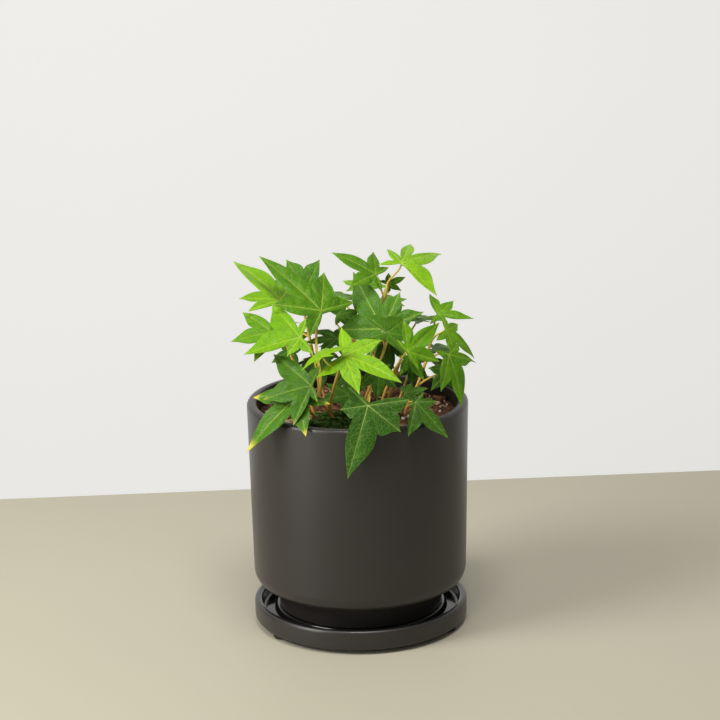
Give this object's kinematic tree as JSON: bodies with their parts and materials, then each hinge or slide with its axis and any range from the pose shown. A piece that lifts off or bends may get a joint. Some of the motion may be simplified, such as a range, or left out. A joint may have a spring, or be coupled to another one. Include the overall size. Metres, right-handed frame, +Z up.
{
  "type": "potted english ivy",
  "caption": "Young English ivy with lobed leaves on leafy stems, in a matte charcoal cylinder pot standing in its saucer on rubber feet.",
  "frame": {"origin": "on the pot's axis, at the level of the surface that the rubber feet stand on", "axes": "+Z up along the pot's axis; -Y towards the front, where the oldest leaves hang over the rim; +X to the right as seen from the front"},
  "size_m": [0.144, 0.144, 0.2217],
  "materials": {
    "pot_glaze": "matte charcoal",
    "saucer_glaze": "matte outside, gloss inside",
    "rubber_foot": "matte black",
    "potting_mix": "coarse bark chips",
    "young_foliage": "satin, lime green with pale veins",
    "foliage": "satin, mid green with pale veins",
    "old_foliage": "satin, dark green with yellow-green veins"
  },
  "bodies": {
    "root": {"saucer": "saucer_glaze", "foot_1": "rubber_foot", "foot_2": "rubber_foot", "foot_3": "rubber_foot", "pot": "pot_glaze", "soil": "potting_mix", "ivy_stem_fork": "young_foliage", "ivy_stem_left": "young_foliage", "ivy_stem_rim_left": "old_foliage", "ivy_stem_rim_front": "old_foliage", "ivy_stem_rim_right": "old_foliage", "ivy_stem_right_front": "foliage", "ivy_stem_right": "young_foliage", "ivy_stem_top": "young_foliage", "ivy_stem_middle": "foliage", "ivy_stem_back_left": "foliage", "ivy_stem_back": "foliage", "ivy_stem_back_right": "foliage"}
  },
  "joints": []
}
